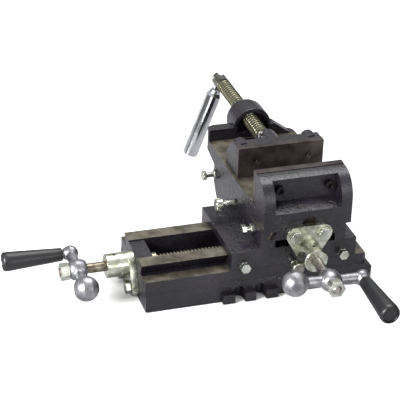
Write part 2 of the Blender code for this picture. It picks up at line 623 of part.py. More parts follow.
def make_body(paint):
    half = BED_HALF
    low = Y_FLOOR + 0.4
    rear_low = BED_BOTTOM + 8
    bed_front = FIXED_FACE - PLATE_THICK - 3
    side = [(bed_front, BED_BOTTOM), (TONGUE_REAR, BED_BOTTOM), (CROSS_FRONT, rear_low)]
    side += [(BED_REAR, rear_low + 1), (BED_REAR, BED_TOP), (bed_front, BED_TOP)]
    body = add("vise_body", prism(side, "X", CENTRE_X - half, CENTRE_X + half), paint)

    tongue = [(left_female(low) + GIB + 0.7, low), (left_female(BED_BOTTOM + 1) + GIB + 0.7, BED_BOTTOM + 1)]
    tongue += [(right_female(BED_BOTTOM + 1) - 0.4, BED_BOTTOM + 1), (right_female(low) - 0.4, low)]
    join(body, prism(tongue, "Y", BODY_FRONT, TONGUE_REAR))

    jaw_back = FIXED_FACE - PLATE_THICK - GAP
    jaw = [(BODY_FRONT, BED_BOTTOM), (jaw_back, BED_BOTTOM), (jaw_back, JAW_TOP - 1)]
    depth = JAW_CURVE_Y - BODY_FRONT
    height = JAW_TOP - 1 - JAW_CURVE_Z
    for step in range(9):
        turn = radians(90 - step * 11.25)
        jaw.append((JAW_CURVE_Y - depth * cos(turn), JAW_CURVE_Z + height * sin(turn)))
    jaw_x = (CENTRE_X - JAW_WIDTH / 2, CENTRE_X + JAW_WIDTH / 2)
    join(body, prism(jaw, "X", *jaw_x))
    window = [(-36.0, 132.8), (-62.0, 132.8), (-62.0, 97.8), (-36.0, 106.0)]
    cut(body, prism(window, "X", CENTRE_X - WINDOW_HALF, CENTRE_X + WINDOW_HALF))
    for spot in plate_screw_seats():
        cut(body, rod(3 + RUN, spot, (0, 1, 0), -1, 15))
    arch = arc((CENTRE_X + 2.5, 84), 9, 0, 180, 10) + [(CENTRE_X - 6.5, 81.5), (CENTRE_X + 11.5, 81.5)]
    cut(body, prism(arch, "Y", BODY_FRONT - 1, BODY_FRONT + 7))
    for side_x in (-1, 1):
        bolt = (CENTRE_X + side_x * BOLT_SIDE, BODY_FRONT, Y_AXIS_Z + BOLT_RISE)
        cut(body, rod(BOLT_R + RUN, bolt, (0, 1, 0), -1, 16))

    left = CENTRE_X - half
    wall = [(left, BED_TOP - 1), (left, CROSS_TOP), (left + 16, CROSS_TOP), (CENTRE_X + 27, CROSS_TOP)]
    wall += [(CENTRE_X + 46.5, BED_TOP), (CENTRE_X + 46.5, BED_TOP - 1)]
    join(body, prism(wall, "Y", CROSS_FRONT, BED_REAR))
    axis = (CENTRE_X, 0, SPINDLE_Z)
    hood = [(HOOD_R - 0.6, HOOD_FRONT), (HOOD_R, HOOD_FRONT + 2), (HOOD_R, NUT_BOSS_REAR - 7)]
    hood += [(HOOD_R - 1.5, NUT_BOSS_REAR - 2.5), (HOOD_R - 4, NUT_BOSS_REAR)]
    join(body, turned(hood, (CENTRE_X, 0, HOOD_Z), (0, 1, 0), 36))
    recess = arc((CENTRE_X, HOOD_Z - 1.5), HOOD_R - 3.7, -12, 192, 16)
    cut(body, prism(recess, "Y", CROSS_FRONT - 2, HOOD_FRONT + 10))
    cut(body, rod(SPINDLE_R + RUN, axis, (0, 1, 0), CROSS_FRONT, NUT_BOSS_REAR + 1, ROUND))
    for x, sign in ((left, -1), (CENTRE_X + half, 1)):
        middle = (x - sign * 10, BED_REAR - 10)
        curve = arc(middle, 10, 90, 0 if sign > 0 else 180, 5)
        outside = [(x + sign * 3, BED_REAR - 10), (x + sign * 3, BED_REAR + 3)]
        outside += [(x - sign * 10, BED_REAR + 3)]
        cut(body, prism(curve + outside, "Z", BED_BOTTOM - 2, CROSS_TOP + 2))

    step_in = half - JAW_WIDTH / 2
    for side_x in (-1, 1):
        edge = CENTRE_X + side_x * half
        wedge = [(edge + side_x * 2, bed_front - 1), (edge - side_x * step_in, bed_front - 1)]
        wedge += [(edge - side_x * step_in, bed_front + 2), (edge + side_x * 0.1, 8), (edge + side_x * 2, 8)]
        cut(body, prism(wedge, "Z", BED_BOTTOM - 1, BED_TOP + 1))

    slot_y = (BED_SLOT_FRONT, BED_SLOT_REAR)
    slot_x = (CENTRE_X - BED_SLOT_HALF, CENTRE_X + BED_SLOT_HALF)
    cut(body, box(slot_x, slot_y, (POCKET_TOP - 2, BED_TOP + 1)))
    cut(body, box((CENTRE_X - POCKET_HALF, CENTRE_X + POCKET_HALF), slot_y, (Y_FLOOR - 2, POCKET_TOP)))
    return body


def plate_screw_seats():
    """Seats of the fixed jaw plate's screws, on the floor of the front pocket."""
    return [(CENTRE_X + side * 28.0, -36.0, 120.0) for side in (-1, 1)]


def plate_x():
    return (CENTRE_X - JAW_WIDTH / 2, CENTRE_X + JAW_WIDTH / 2)


def make_body_parts(paints):
    parts = [make_body(paints["enamel"])]
    back = FIXED_FACE - PLATE_THICK
    plate = add("fixed_jaw_plate", box(plate_x(), (back, FIXED_FACE), (BED_TOP + GAP, JAW_TOP)),
                paints["jaw_steel"])
    for seat in plate_screw_seats():
        cut(plate, rod(3 + RUN, seat, (0, 1, 0), 10, 18.5))
    parts.append(plate)
    for name, seat in zip(("fixed_plate_screw_left", "fixed_plate_screw_right"), plate_screw_seats()):
        lifted = (seat[0], seat[1] - GAP, seat[2])
        parts.append(make_socket_screw(name, lifted, (0, 1, 0), 3, 5, 6, 18, paints["jaw_steel"]))
    return parts


# The movable jaw

def make_jaw(paints):
    face = FIXED_FACE + OPENING
    back = face + PLATE_THICK + GAP
    low = BED_TOP + GAP
    x = plate_x()
    profile = [(back, low), (back, JAW_TOP - 1), (back + 13, JAW_TOP - 1), (back + 24, 126)]
    profile += [(back + 31, 116), (back + 34, low)]
    jaw = add("movable_jaw", prism(profile, "X", *x), paints["enamel"], (CENTRE_X, face, BED_TOP))
    axis = (CENTRE_X, 0, SPINDLE_Z)
    boss_end = back + 44
    join(jaw, turned([(13.5, back + 2), (13.5, boss_end - 1), (12.5, boss_end)], axis, (0, 1, 0)))
    join(jaw, box((CENTRE_X - 12.8, CENTRE_X + 12.8), (back + 3, boss_end - 5), (low, SPINDLE_Z - 2)))
    for side in (-1, 1):
        lug = (CENTRE_X + side * 40, 0, JAW_TOP - 8)
        join(jaw, rod(8.5, lug, (0, 1, 0), back + 4, back + 19, 20))
    tongue_y = (back + 4, back + 38)
    tongue_x = (CENTRE_X - BED_SLOT_HALF + GAP, CENTRE_X + BED_SLOT_HALF - GAP)
    join(jaw, box(tongue_x, tongue_y, (POCKET_TOP, low + 1)))
    cut(jaw, rod(SPINDLE_R - 2 + RUN, axis, (0, 1, 0), back + 8, boss_end + 1, 24))
    pin = (CENTRE_X, boss_end - 8, SPINDLE_Z)
    pin_x = CENTRE_X - SPINDLE_R - 0.6
    cut(jaw, rod(2.5 + RUN, (pin_x, pin[1], 0), (0, 0, 1), SPINDLE_Z - 16, SPINDLE_Z + 16, 12))
    seats = [(CENTRE_X + side * 30.0, face + 4, 119.0) for side in (-1, 1)]
    for seat in seats:
        cut(jaw, rod(3 + RUN, seat, (0, 1, 0), PLATE_THICK - 6, 20))
    keeper_seats = [(CENTRE_X, back + offset, POCKET_TOP - 5) for offset in (12, 30)]
    for seat in keeper_seats:
        cut(jaw, rod(3 + RUN, (seat[0], seat[1], POCKET_TOP), (0, 0, 1), -1, 9))
    parts = [jaw]

    plate = add("movable_jaw_plate", box(x, (face, back - GAP), (low, JAW_TOP)), paints["jaw_steel"])
    for name, seat in zip(("movable_plate_screw_left", "movable_plate_screw_right"), seats):
        cut(plate, rod(3 + RUN, seat, (0, 1, 0), -1, PLATE_THICK))
        cut(plate, rod(5 + RUN, seat, (0, 1, 0), -PLATE_THICK, GAP))
        lifted = (seat[0], seat[1], seat[2])
        parts.append(make_socket_screw(name, lifted, (0, 1, 0), 3, 5, 3.5, 18, paints["jaw_steel"]))
    parts.append(plate)

    keeper_y = (back + 4, back + 38)
    keeper_x = (CENTRE_X - POCKET_HALF + 0.5, CENTRE_X + POCKET_HALF - 0.5)
    keeper_bm = box(keeper_x, keeper_y, (POCKET_TOP - 5, POCKET_TOP - GAP))
    keeper = add("jaw_keeper_plate", keeper_bm, paints["steel"])
    for name, seat in zip(("keeper_screw_front", "keeper_screw_rear"), keeper_seats):
        cut(keeper, rod(3 + RUN, seat, (0, 0, 1), -1, 6))
        head = (seat[0], seat[1], seat[2] - GAP)
        parts.append(make_socket_screw(name, head, (0, 0, 1), 3, 5, 5, 13, paints["zinc"]))
    parts.append(keeper)

    pin_seat = (pin_x, pin[1], SPINDLE_Z)
    retainer = rod(2.5, pin_seat, (0, 0, 1), -10, 14, 12)
    parts.append(add("spindle_retaining_pin", retainer, paints["zinc"], pin_seat))
    return parts


def make_spindle(paints):
    back = FIXED_FACE + OPENING + PLATE_THICK + GAP
    boss_end = back + 44
    axis = (CENTRE_X, 0, SPINDLE_Z)
    neck = SPINDLE_R - 2
    groove = boss_end - 8
    profile = [
        (neck, back + 9), (neck, groove - 3), (neck - 1.2, groove - 3), (neck - 1.2, groove + 3),
        (neck, groove + 3), (neck, boss_end + GAP), (SPINDLE_R, boss_end + GAP), (SPINDLE_R, HEAD_END - 2.5),
        (SPINDLE_R - 2.5, HEAD_END),
    ]
    pin_spot = Vector((CENTRE_X, PIN_Y, SPINDLE_Z))
    spindle = add("jaw_spindle", turned(profile, axis, (0, 1, 0)), paints["thread"], tuple(pin_spot))
    down = handle_direction()
    across = Vector((0, 1, 0)).cross(down)
    slot = slab(pin_spot, across, down, 4.3, (-8, HEAD_END - PIN_Y + 1), (-SPINDLE_R - 1, SPINDLE_R + 1))
    cut(spindle, slot)
    cut(spindle, rod(2.2 + GAP, pin_spot, across, -SPINDLE_R - 1, SPINDLE_R + 1, 12))
    rivet = add("handle_rivet_pin", rod(2.2, pin_spot, across, -SPINDLE_R - 1.2, SPINDLE_R + 1.2, 12),
                paints["zinc"], tuple(pin_spot))
    handle = add("spindle_handle", turned(
        [(5.8, 13), (6.4, 14), (7.0, 17), (HANDLE_R, 21), (HANDLE_R, HANDLE_LENGTH - 1.2),
         (HANDLE_R - 1.2, HANDLE_LENGTH)],
        pin_spot, down, 28), paints["chrome"], tuple(pin_spot))
    neck_plate = slab(pin_spot, across, down, 3.9, (-5, 5), (-5, 15))
    join(handle, neck_plate)
    cut(handle, rod(2.2 + GAP, pin_spot, across, -8, 8, 12))
    return spindle, rivet, handle


def handle_direction():
    return Vector((-sin(HANDLE_LEAN), 0, -cos(HANDLE_LEAN)))


def slab(middle, normal, down, half, along, drop):
    """A block square to the handle: half thick each way, along Y and down the handle."""
    bm = bmesh.new()
    corners = []
    for thick in (-half, half):
        for y in along:
            for fall in drop:
                corners.append(bm.verts.new(middle + normal * thick + Vector((0, y, 0)) + down * fall))
    for a, b, c, d in ((0, 1, 3, 2), (4, 5, 7, 6), (0, 1, 5, 4), (2, 3, 7, 6), (0, 2, 6, 4), (1, 3, 7, 5)):
        bm.faces.new((corners[a], corners[b], corners[c], corners[d]))
    bmesh.ops.recalc_face_normals(bm, faces=bm.faces)
    return bm


def main():
    for obj in list(bpy.data.objects):
        bpy.data.objects.remove(obj, do_unlink=True)
    paints = make_materials()
    base = make_base(paints["enamel"])
    x_place = (BASE_LEFT, 0.0, X_AXIS_Z)
    y_place = (CENTRE_X, BODY_FRONT, Y_AXIS_Z)

    x_fixed = [make_bracket("x_screw_bracket", x_place, "X", -1, paints["zinc"])]
    for name, side in (("x_bracket_bolt_front", -1), ("x_bracket_bolt_rear", 1)):
        seat = (BASE_LEFT - BRACKET_FLANGE - 2 * GAP, side * BOLT_SIDE, X_AXIS_Z - BOLT_RISE)
        x_fixed.append(make_bolt(name, seat, (1, 0, 0), 13, BOLT_HEAD, 20, BOLT_R, paints["zinc"]))
    hang(x_fixed, base)

    x_wall = BASE_LEFT + END_WALL
    x_screw, x_collar = make_feed_screw("x_feed_screw", x_place, "X", X_CRANK, x_wall, RAIL_RIGHT - 10,
                                        WAY_RIGHT - 4, paints["zinc"])
    x_arm, x_nut, x_grip, x_pin = make_crank("x", x_place, "X", X_CRANK, -1, 0.0, paints)
    hang([x_screw, x_collar, x_arm, x_nut, x_pin], base)
    hang([x_grip], x_arm)

    saddle_parts = make_saddle_parts(paints)
    hang(saddle_parts[1:], saddle_parts[0])

    body_parts = make_body_parts(paints)
    body_parts.append(make_bracket("y_screw_bracket", y_place, "Y", 1, paints["zinc"]))
    for name, side in (("y_bracket_bolt_left", -1), ("y_bracket_bolt_right", 1)):
        seat = (CENTRE_X + side * BOLT_SIDE, BODY_FRONT - BRACKET_FLANGE - 2 * GAP, Y_AXIS_Z + BOLT_RISE)
        body_parts.append(make_bolt(name, seat, (0, 1, 0), 13, BOLT_HEAD, 20, BOLT_R, paints["zinc"]))
    hang(body_parts[1:], body_parts[0])

    y_screw, y_collar = make_feed_screw("y_feed_screw", y_place, "Y", Y_CRANK, BODY_FRONT, Y_RAIL_REAR - 5,
                                        0, paints["zinc"])
    y_arm, y_nut, y_grip, y_pin = make_crank("y", y_place, "Y", Y_CRANK, -1, Y_CRANK_TILT, paints)
    hang([y_screw, y_collar, y_arm, y_nut, y_pin], body_parts[0])
    hang([y_grip], y_arm)

    jaw_parts = make_jaw(paints)
    spindle, rivet, handle = make_spindle(paints)
    hang(jaw_parts[1:], jaw_parts[0])
    hang([rivet, handle], spindle)
    bpy.context.view_layer.update()


main()
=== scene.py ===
"""A 100 mm cross-slide drill-press vise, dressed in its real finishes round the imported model."""

from math import cos, pi, radians, sin

import bmesh
import bpy
from mathutils import Matrix, Vector


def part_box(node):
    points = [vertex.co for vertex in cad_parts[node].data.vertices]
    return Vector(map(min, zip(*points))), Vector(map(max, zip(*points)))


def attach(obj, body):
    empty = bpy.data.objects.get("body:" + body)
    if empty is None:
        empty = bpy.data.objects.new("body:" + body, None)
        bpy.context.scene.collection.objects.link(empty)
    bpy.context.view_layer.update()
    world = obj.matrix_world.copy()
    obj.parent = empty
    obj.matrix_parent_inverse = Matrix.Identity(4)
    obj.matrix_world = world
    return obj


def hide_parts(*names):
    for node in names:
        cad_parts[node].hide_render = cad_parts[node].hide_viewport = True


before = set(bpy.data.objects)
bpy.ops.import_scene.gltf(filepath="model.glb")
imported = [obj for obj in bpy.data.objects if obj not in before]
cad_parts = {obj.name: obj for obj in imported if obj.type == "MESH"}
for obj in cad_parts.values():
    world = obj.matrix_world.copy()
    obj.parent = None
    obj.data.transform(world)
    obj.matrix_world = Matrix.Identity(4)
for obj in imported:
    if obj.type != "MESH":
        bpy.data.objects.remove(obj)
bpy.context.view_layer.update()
MM = 0.001
FEED_PITCH = 4.0
SPINDLE_PITCH = 5.0
FEED_RADIUS = 5.5
FEED_DEPTH = 1.2
SPINDLE_RADIUS = 8.5
SPINDLE_DEPTH = 2.0
X_SHANK_END = -96.5  # where the plain shank gives way to thread, along each screw's own axis
Y_SHANK_END = -38.5
SPINDLE_START = 87.2
SPINDLE_HEAD = 237.5
CRANK_THROW = 36
CRANK_SPAN = 75  # from the grip's axis to the middle of the counterweight ball
BALL_FLAT = 12.04  # from the crank's arm plane out to the flat on its ball
GRIP_START = 8.94  # the grip's two ends, measured out from the crank's arm plane
GRIP_STOP = 74.94
Y_CRANK_TILT = radians(3.4)


# ---------------------------------------------------------------- finishes


def linear(code, alpha=1.0):
    """A #rrggbb colour as Blender's linear values."""
    channels = [int(code[i:i + 2], 16) / 255 for i in (1, 3, 5)]
    return tuple(c / 12.92 if c <= 0.04045 else ((c + 0.055) / 1.055) ** 2.4 for c in channels) + (alpha,)


def node(tree, kind, inputs=None, **settings):
    """Adds one node. An input is a value, or the socket it is linked from."""
    made = tree.nodes.new(kind)
    for name, value in settings.items():
        setattr(made, name, value)
    for socket, value in (inputs or {}).items():
        if isinstance(value, bpy.types.NodeSocket):
            tree.links.new(value, made.inputs[socket])
        else:
            made.inputs[socket].default_value = value
    return made


def new_material(name):
    made = bpy.data.materials.new(name)
    made.use_nodes = True
    made.node_tree.nodes.clear()
    return made, made.node_tree


def finish_material(tree, shader):
    node(tree, "ShaderNodeOutputMaterial", {"Surface": shader.outputs[0]})


def enamelled_sand_cast_iron(name, machined, grinding=(60, 900, 900)):
    """Sand-cast grey iron sprayed with black enamel: the sand's grain shows through the gloss as an orange
    peel, and the faces that are milled after painting are bare, oiled, brownish iron."""
    made, tree = new_material(name)
    place = node(tree, "ShaderNodeTexCoord")
    grain = node(tree, "ShaderNodeTexNoise", {"Vector": place.outputs["Object"], "Scale": 1 / (2.4 * MM),
                                              "Detail": 4.0})
    lumps = node(tree, "ShaderNodeTexNoise", {"Vector": place.outputs["Object"], "Scale": 1 / (7 * MM),
                                              "Detail": 4.0})
    clouds = node(tree, "ShaderNodeTexNoise", {"Vector": place.outputs["Object"], "Scale": 1 / (34 * MM),
                                               "Detail": 5.0})
    height = node(tree, "ShaderNodeMath", {0: lumps.outputs["Fac"], 1: 0.7, 2: grain.outputs["Fac"]},
                  operation="MULTIPLY_ADD")
    relief = node(tree, "ShaderNodeBump", {"Height": height.outputs[0], "Distance": 0.85 * MM,
                                           "Strength": 0.7})
    shade = node(tree, "ShaderNodeMapRange", {"Value": clouds.outputs["Fac"], "From Min": 0.35,
                                              "From Max": 0.68})
    colour = node(tree, "ShaderNodeMix", {0: shade.outputs[0], 6: linear("#0b090e"), 7: linear("#1c1922")},
                  data_type="RGBA")
    gloss = node(tree, "ShaderNodeMapRange", {"Value": lumps.outputs["Fac"], "To Min": 0.2, "To Max": 0.38})
    enamel = node(tree, "ShaderNodeBsdfPrincipled", {
        "Base Color": colour.outputs[2], "Roughness": gloss.outputs[0], "IOR": 1.52,
        "Normal": relief.outputs[0]})

    cutter_marks = node(tree, "ShaderNodeMapping", {"Vector": place.outputs["Object"], "Scale": grinding})
    streaks = node(tree, "ShaderNodeTexNoise", {"Vector": cutter_marks.outputs[0], "Scale": 1.0,
                                                "Detail": 4.0})
    stains = node(tree, "ShaderNodeTexNoise", {"Vector": place.outputs["Object"], "Scale": 1 / (14 * MM),
                                               "Detail": 6.0})
    stain = node(tree, "ShaderNodeMapRange", {"Value": stains.outputs["Fac"], "From Min": 0.38,
                                              "From Max": 0.66})
    iron_colour = node(tree, "ShaderNodeMix", {0: stain.outputs[0], 6: linear("#3c382f"),
                                               7: linear("#686257")},
                       data_type="RGBA")
    marks = node(tree, "ShaderNodeBump", {"Height": streaks.outputs["Fac"], "Distance": 0.12 * MM,
                                          "Strength": 0.4})
    iron = node(tree, "ShaderNodeBsdfPrincipled", {
        "Base Color": iron_colour.outputs[2], "Metallic": 0.55, "Roughness": 0.5,
        "Normal": marks.outputs[0]})

    up = node(tree, "ShaderNodeSeparateXYZ", {0: place.outputs["Normal"]})
    spot = node(tree, "ShaderNodeSeparateXYZ", {0: place.outputs["Object"]})
    level = node(tree, "ShaderNodeMath", {0: up.outputs["Z"], 1: 0.97}, operation="GREATER_THAN")
    ragged = node(tree, "ShaderNodeMath", {0: grain.outputs["Fac"], 1: 1.6 * MM, 2: -0.8 * MM},
                  operation="MULTIPLY_ADD")
    bare = None
    for lowest, highest, facing_up in machined:
        above = level
        if not facing_up:
            above = node(tree, "ShaderNodeMath", {0: up.outputs["Z"], 1: -2.0}, operation="GREATER_THAN")
        for axis in range(3):
            value = node(tree, "ShaderNodeMath", {0: spot.outputs[axis], 1: ragged.outputs[0]},
                         operation="ADD")
            over = node(tree, "ShaderNodeMath", {0: value.outputs[0], 1: lowest[axis] * MM},
                        operation="GREATER_THAN")
            under = node(tree, "ShaderNodeMath", {0: value.outputs[0], 1: highest[axis] * MM},
                         operation="LESS_THAN")
            both = node(tree, "ShaderNodeMath", {0: over.outputs[0], 1: under.outputs[0]},
                        operation="MULTIPLY")
            above = node(tree, "ShaderNodeMath", {0: above.outputs[0], 1: both.outputs[0]},
                         operation="MULTIPLY")
        bare = above if bare is None else node(
            tree, "ShaderNodeMath", {0: bare.outputs[0], 1: above.outputs[0]}, operation="MAXIMUM")
    if bare is None:
        finish_material(tree, enamel)
    else:
        finish_material(tree, node(tree, "ShaderNodeMixShader", {
            0: bare.outputs[0], 1: enamel.outputs[0], 2: iron.outputs[0]}))
    return made


def ground_blackened_steel():
    """Hardened tool steel, oil-blackened and ground: near black with a brown cast and long scratches."""
    made, tree = new_material("ground blackened steel")
    place = node(tree, "ShaderNodeTexCoord")
    along = node(tree, "ShaderNodeMapping", {"Vector": place.outputs["Object"], "Scale": (45, 800, 800)})
    scratches = node(tree, "ShaderNodeTexNoise", {"Vector": along.outputs[0], "Scale": 1.0, "Detail": 5.0})
    blotches = node(tree, "ShaderNodeTexNoise", {
        "Vector": place.outputs["Object"], "Scale": 1 / (16 * MM), "Detail": 5.0})
    amount = node(tree, "ShaderNodeMapRange", {"Value": blotches.outputs["Fac"], "From Min": 0.36,
                                               "From Max": 0.66})
    colour = node(tree, "ShaderNodeMix", {0: amount.outputs[0], 6: linear("#2c2627"), 7: linear("#4e4643")},
                  data_type="RGBA")
    rough = node(tree, "ShaderNodeMapRange", {"Value": scratches.outputs["Fac"], "To Min": 0.26,
                                              "To Max": 0.52})
    relief = node(tree, "ShaderNodeBump", {"Height": scratches.outputs["Fac"], "Distance": 0.06 * MM,
                                           "Strength": 0.4})
    finish_material(tree, node(tree, "ShaderNodeBsdfPrincipled", {
        "Base Color": colour.outputs[2], "Metallic": 0.7, "Roughness": rough.outputs[0],
        "Normal": relief.outputs[0]}))
    return made


def plated(name, dark, light, rough_low, rough_high, patch, bump, metallic=1.0):
    """A plated or turned metal: its tone and gloss drift in patches, and fine marks break the highlights."""
    made, tree = new_material(name)
    place = node(tree, "ShaderNodeTexCoord")
    patches = node(tree, "ShaderNodeTexNoise", {
        "Vector": place.outputs["Object"], "Scale": 1 / (patch * MM), "Detail": 5.0})
    fine = node(tree, "ShaderNodeTexNoise", {"Vector": place.outputs["Object"], "Scale": 1 / (0.7 * MM),
                                             "Detail": 2.0})
    amount = node(tree, "ShaderNodeMapRange", {"Value": patches.outputs["Fac"], "From Min": 0.36,
                                               "From Max": 0.64})
    colour = node(tree, "ShaderNodeMix", {0: amount.outputs[0], 6: linear(dark), 7: linear(light)},
                  data_type="RGBA")
    rough = node(tree, "ShaderNodeMapRange", {
        "Value": fine.outputs["Fac"], "From Min": 0.3, "From Max": 0.7, "To Min": rough_low,
        "To Max": rough_high})
    relief = node(tree, "ShaderNodeBump", {"Height": fine.outputs["Fac"], "Distance": bump * MM,
                                           "Strength": 0.5})
    finish_material(tree, node(tree, "ShaderNodeBsdfPrincipled", {
        "Base Color": colour.outputs[2], "Metallic": metallic, "Roughness": rough.outputs[0],
        "Normal": relief.outputs[0]}))
    return made


def plated_thread():
    """Yellow-green zinc on a rolled thread: the crests are worn glossy, and the roots are darkened to near
    black as painted shade.
    """
    made, tree = new_material("zinc plated rolled thread with painted root shade")
    place = node(tree, "ShaderNodeTexCoord")
    spot = node(tree, "ShaderNodeSeparateXYZ", {0: place.outputs["Object"]})
    across = node(tree, "ShaderNodeCombineXYZ", {"X": spot.outputs["X"], "Y": spot.outputs["Y"]})
    radius = node(tree, "ShaderNodeVectorMath", {0: across.outputs[0]}, operation="LENGTH")
    depth = node(tree, "ShaderNodeAttribute", attribute_name="crest")
    tint = node(tree, "ShaderNodeTexNoise", {"Vector": place.outputs["Object"], "Scale": 1 / (9 * MM),
                                             "Detail": 4.0})
    bright = node(tree, "ShaderNodeMix", {0: tint.outputs["Fac"], 6: linear("#7c795f"),
                                          7: linear("#a5a38f")},
                  data_type="RGBA")
    # painted shade: the crest mark blends from the zinc's own colour at the crests to near black in the
    # thread roots
    colour = node(tree, "ShaderNodeMix", {0: depth.outputs["Fac"], 6: linear("#221f15"),
                                          7: bright.outputs[2]},
                  data_type="RGBA")
    worn = node(tree, "ShaderNodeMapRange", {"Value": radius.outputs["Value"], "From Min": 4 * MM,
                                             "From Max": 9 * MM,
                                             "To Min": 0.42, "To Max": 0.24})
    finish_material(tree, node(tree, "ShaderNodeBsdfPrincipled", {
        "Base Color": colour.outputs[2], "Metallic": 0.9, "Roughness": worn.outputs[0]}))
    return made


def moulded_black_plastic():
    """Injection-moulded phenolic grip: dense black with a satin skin and a faint fine texture."""
    made, tree = new_material("moulded black plastic")
    place = node(tree, "ShaderNodeTexCoord")
    skin = node(tree, "ShaderNodeTexNoise", {"Vector": place.outputs["Object"], "Scale": 1 / (0.9 * MM),
                                             "Detail": 2.0})
    wear = node(tree, "ShaderNodeTexNoise", {"Vector": place.outputs["Object"], "Scale": 1 / (9 * MM),
                                             "Detail": 4.0})
    colour = node(tree, "ShaderNodeMix", {0: wear.outputs["Fac"], 6: linear("#08080a"),
                                          7: linear("#161619")},
                  data_type="RGBA")
    rough = node(tree, "ShaderNodeMapRange", {"Value": wear.outputs["Fac"], "To Min": 0.3, "To Max": 0.48})
    relief = node(tree, "ShaderNodeBump", {"Height": skin.outputs["Fac"], "Distance": 0.05 * MM,
                                           "Strength": 0.35})
    finish_material(tree, node(tree, "ShaderNodeBsdfPrincipled", {
        "Base Color": colour.outputs[2], "Roughness": rough.outputs[0], "IOR": 1.5,
        "Normal": relief.outputs[0]}))
    return made


def matt(name, code, rough):
    """A plain painted studio surface."""
    made, tree = new_material(name)
    finish_material(tree, node(tree, "ShaderNodeBsdfPrincipled", {"Base Color": linear(code),
            "Roughness": rough}))
    return made


BASE_FINISH = enamelled_sand_cast_iron("enamelled base casting", [
    ((-118, -37.5, 47), (127, -18.8, 49), True), ((-118, 18.8, 47), (127, 37.5, 49), True),
    ((-118, -50.2, 34), (136, -36, 36), True), ((-118, 36, 34), (136, 50.2, 36), True)])
SADDLE_FINISH = enamelled_sand_cast_iron("enamelled saddle casting", [
    ((10, -60, 78), (109, 120, 80), True), ((10, -60, 67), (109, 120, 69.5), True)])
BODY_FINISH = enamelled_sand_cast_iron("enamelled vise body casting", [
    ((8, -18, 99), (116, 128, 101), True), ((54, -53, 80.5), (75, -46, 95), False)], (900, 60, 900))
JAW_FINISH = enamelled_sand_cast_iron("enamelled movable jaw casting", [])
JAW_STEEL = ground_blackened_steel()
ZINC = plated("bright zinc plate", "#a8aaa0", "#d6d8d0", 0.16, 0.3, 9, 0.02)
BRACKET_ZINC = plated("zinc plated cast bracket", "#9a9d8c", "#d2d4c7", 0.16, 0.34, 7, 0.12)
YELLOW_ZINC = plated_thread()
SPINDLE_HEAD_FINISH = plated("turned spindle head", "#5c5b56", "#7f7e77", 0.3, 0.46, 6, 0.06)
TURNED_STEEL = plated("oiled turned steel", "#5f574b", "#948b7c", 0.25, 0.42, 6, 0.04)
BRONZE = plated("machined bronze", "#6d5430", "#a58451", 0.3, 0.5, 6, 0.05)
CAST_ALUMINIUM = plated("tumbled cast aluminium", "#76767a", "#a2a2a6", 0.32, 0.48, 8, 0.12)
CHROME = plated("polished chrome plate", "#b4b5b8", "#cfd0d3", 0.06, 0.16, 14, 0.01)
BLACK_OXIDE = plated("black oxide screw steel", "#1c1a1c", "#38353a", 0.3, 0.45, 3, 0.04)
PLASTIC = moulded_black_plastic()
BRIGHT_SHANK = plated("bright drawn steel", "#a39c98", "#bdb7b2", 0.22, 0.36, 7, 0.03)
KNURLED = plated("knurled steel", "#6d6c66", "#97968d", 0.26, 0.42, 4, 0.05)


# ---------------------------------------------------------------- shapes


def piece(name, bm, material, body, *nodes, slot=None, smooth=35):
    """Makes one object of the mesh, which rides on the body and stands for the CAD nodes."""
    mesh = bpy.data.meshes.new(name)
    bm.to_mesh(mesh)
    bm.free()
    mesh.materials.append(material)
    made = bpy.data.objects.new(name, mesh)
    bpy.context.scene.collection.objects.link(made)
    mesh.shade_smooth()
    mesh.set_sharp_from_angle(angle=radians(smooth))
    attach(made, body)
    if nodes:
        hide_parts(*nodes)
    return made


def dress(material, *names, edge=0.0, segments=2, flat=True):
    """Gives CAD nodes their finish and, where edge is set, eases sharp edges by that many millimetres."""
    for name in names:
        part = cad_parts[name]
        part.data.materials.clear()
        part.data.materials.append(material)
        if not edge:
            continue
        weld = part.modifiers.new("close seams", "WELD")
        weld.merge_threshold = 0.00001
        if flat:
            plain = part.modifiers.new("plain faces", "DECIMATE")
            plain.decimate_type = "DISSOLVE"
            plain.angle_limit = radians(1.5)
        ease = part.modifiers.new("eased edges", "BEVEL")
        ease.width = edge * MM
        ease.segments = segments
        ease.limit_method = "ANGLE"
        ease.angle_limit = radians(34)
        ease.use_clamp_overlap = True
        level = part.modifiers.new("level shading", "WEIGHTED_NORMAL")
        level.keep_sharp = False


def lathe(profile, centre, axis, steps=40):
    """A closed turned solid. The profile is (radius, distance along the axis) in millimetres."""
    bm = bmesh.new()
    spin = Vector(axis).to_track_quat("Z", "Y").to_matrix()
    middle = Vector(centre)
    rings = []
    for radius, along in profile:
        if radius < 0.001:
            rings.append([bm.verts.new(middle + spin @ Vector((0, 0, along * MM)))] * steps)
            continue
        rings.append([bm.verts.new(middle + spin @ Vector((
            radius * MM * cos(2 * pi * k / steps), radius * MM * sin(2 * pi * k / steps), along * MM)))
            for k in range(steps)])
    for low, high in zip(rings, rings[1:]):
        for k in range(steps):
            corners = [low[k], low[(k + 1) % steps], high[(k + 1) % steps], high[k]]
            unique = list(dict.fromkeys(corners))
            if len(unique) > 2:
                bm.faces.new(unique)
    for ring in (rings[0], rings[-1]):
        if ring[0] is not ring[1]:
            bm.faces.new(ring)
    bmesh.ops.recalc_face_normals(bm, faces=bm.faces)
    return bm


